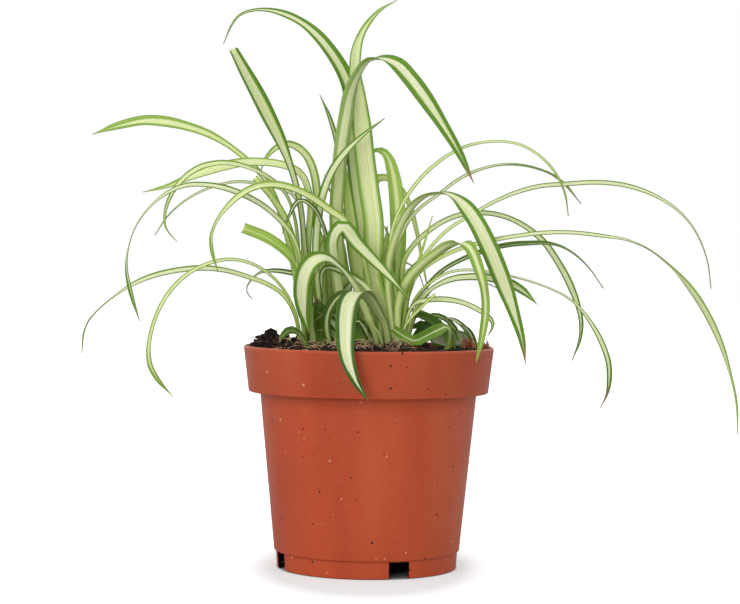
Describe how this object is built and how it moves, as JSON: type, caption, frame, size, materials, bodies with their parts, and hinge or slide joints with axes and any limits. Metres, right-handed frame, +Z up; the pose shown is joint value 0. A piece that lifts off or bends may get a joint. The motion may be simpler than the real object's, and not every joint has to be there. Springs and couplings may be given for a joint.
{
  "type": "potted spider plant",
  "caption": "Spider plant with arching green and cream strap leaves in a tapered terracotta-coloured plastic nursery pot with a deep collar, filled with dark soil.",
  "frame": {"origin": "middle of the pot's flat base, on the surface it rests on", "axes": "+Z up, +X to the viewer's right in the picture, +Y away from the viewer"},
  "size_m": [0.3133, 0.1651, 0.2724],
  "materials": {
    "pot": "moulded terracotta-orange polypropylene, satin, a little soil dust",
    "soil": null,
    "leaf_green": null,
    "leaf_pale": null,
    "leaf_dry": "dry brown leaf"
  },
  "bodies": {
    "root": {"pot": "pot", "soil": "soil", "dry_tuft": "leaf_dry", "leaf_right_01": "leaf_green", "leaf_right_02": "leaf_green", "leaf_right_03": "leaf_green", "leaf_right_04": "leaf_green", "leaf_right_05": "leaf_green", "leaf_right_06": "leaf_green", "leaf_right_07": "leaf_green", "leaf_right_08": "leaf_green", "leaf_right_09": "leaf_green", "leaf_right_10": "leaf_green", "leaf_right_11": "leaf_green", "leaf_right_12": "leaf_pale", "leaf_right_13": "leaf_pale", "leaf_right_14": "leaf_green", "leaf_right_15": "leaf_green", "leaf_right_16": "leaf_pale", "leaf_right_17": "leaf_green", "leaf_right_18": "leaf_green", "leaf_right_19": "leaf_green", "leaf_middle_01": "leaf_green", "leaf_middle_02": "leaf_green", "leaf_middle_03": "leaf_green", "leaf_middle_04": "leaf_green", "leaf_middle_05": "leaf_green", "leaf_middle_06": "leaf_green", "leaf_middle_07": "leaf_green", "leaf_middle_08": "leaf_green", "leaf_middle_09": "leaf_green", "leaf_middle_10": "leaf_green", "leaf_middle_11": "leaf_green", "leaf_middle_12": "leaf_pale", "leaf_middle_13": "leaf_green", "leaf_middle_14": "leaf_pale", "leaf_inner_01": "leaf_pale", "leaf_inner_02": "leaf_pale", "leaf_inner_03": "leaf_pale", "leaf_inner_04": "leaf_green", "leaf_left_01": "leaf_green", "leaf_left_02": "leaf_green", "leaf_left_03": "leaf_pale", "leaf_left_04": "leaf_green", "leaf_left_05": "leaf_green", "leaf_left_06": "leaf_green", "leaf_left_07": "leaf_green", "leaf_left_08": "leaf_green", "leaf_left_09": "leaf_green", "leaf_left_10": "leaf_green", "leaf_left_11": "leaf_green", "leaf_left_12": "leaf_green", "leaf_left_13": "leaf_pale", "leaf_left_14": "leaf_green", "leaf_left_15": "leaf_pale", "leaf_left_16": "leaf_green", "leaf_back_01": "leaf_green", "leaf_back_02": "leaf_green", "leaf_back_03": "leaf_green", "leaf_back_04": "leaf_green"}
  },
  "joints": []
}
